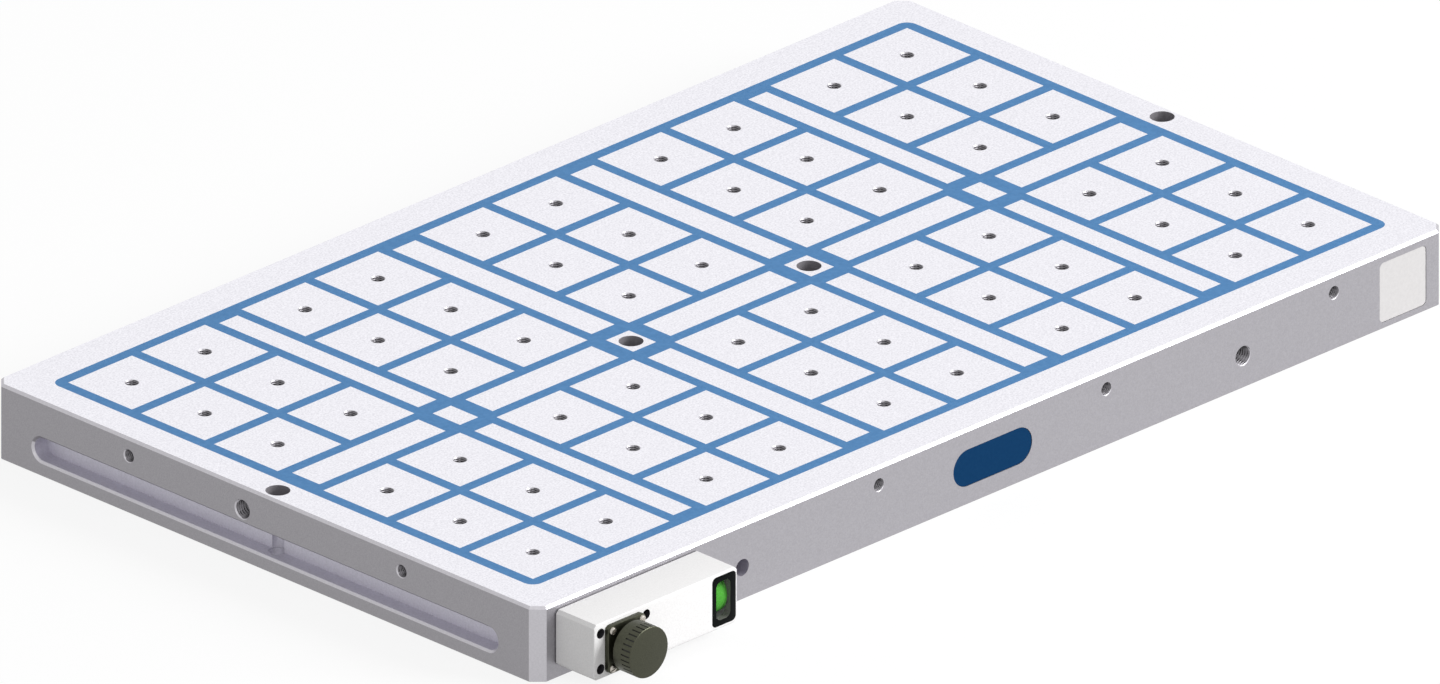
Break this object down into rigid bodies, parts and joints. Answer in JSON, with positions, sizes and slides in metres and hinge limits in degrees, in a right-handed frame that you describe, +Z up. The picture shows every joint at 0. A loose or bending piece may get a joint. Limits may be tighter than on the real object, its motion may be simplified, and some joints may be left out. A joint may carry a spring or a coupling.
{
  "type": "square-pole electro-permanent magnetic chuck",
  "caption": "Flat rectangular magnetic workholding plate with square poles in resin grooves, end clamping slots and a side junction box with connector and state window.",
  "frame": {"origin": "centre of the flat underside that rests on the machine table", "axes": "+X along the length, +Y across, away from the junction box, +Z up out of the work face"},
  "size_m": [0.714, 0.4785, 0.046],
  "materials": {
    "steel_frame": "ground and milled mild steel",
    "pole_steel": "ground mild steel",
    "alnico": "cast AlNiCo, ground ends",
    "potted_coil": "enamelled copper in amber potting",
    "neodymium": "nickel plated",
    "blue_resin": "ground epoxy resin",
    "navy_plate": "navy enamel",
    "white_plate": "white film on plate",
    "white_housing": "white powder coat on aluminium",
    "black_rubber": "nitrile",
    "steel_screw": "plain zinc",
    "black_screw": "black oxide",
    "olive_shell": "olive drab cadmium over nickel",
    "grey_insert": "moulded neoprene",
    "gold_contact": "gold plate",
    "black_bezel": "black ABS",
    "clear_lens": "clear polycarbonate",
    "green_drum": "green and red moulded drum",
    "axle_steel": "ground pin",
    "lead_sleeve": "braided sleeve"
  },
  "bodies": {
    "chuck": {"base_frame": "steel_frame", "pole_shoes": "pole_steel", "alnico_magnets": "alnico", "coil_blocks": "potted_coil", "side_magnets": "neodymium", "groove_resin": "blue_resin", "badge_plate": "navy_plate", "label_plate": "white_plate", "junction_housing": "white_housing", "housing_seal": "black_rubber", "housing_screws": "black_screw", "connector_shell": "olive_shell", "connector_insert": "grey_insert", "contact_pins": "gold_contact", "flange_screws": "steel_screw", "window_bezel": "black_bezel", "window_lens": "clear_lens", "indicator_axle": "axle_steel", "lead_bundle": "lead_sleeve"},
    "cap_lift": {"cap_seal": "black_rubber"},
    "cap": {"dust_cap": "olive_shell"},
    "drum": {"indicator_drum": "green_drum", "indicator_magnet": "neodymium"}
  },
  "joints": [
    {"name": "cap_travel", "type": "slide", "parent": "chuck", "child": "cap_lift", "axis": [0, -1, 0], "range_m": [0, 0.00508]},
    {"name": "cap_turn", "type": "hinge", "parent": "cap_lift", "child": "cap", "pos_m": [-0.32035, -0.2645, 0.0251], "axis": [0, -1, 0], "range_deg": [0, 1440]},
    {"name": "drum_turn", "type": "hinge", "parent": "chuck", "child": "drum", "pos_m": [-0.2419, -0.2293, 0.0251], "axis": [1, 0, 0], "range_deg": [0, 180]}
  ],
  "couplings": [
    {"joint": "cap_turn", "follows": "cap_travel", "rad_per_m": 4947.4}
  ]
}
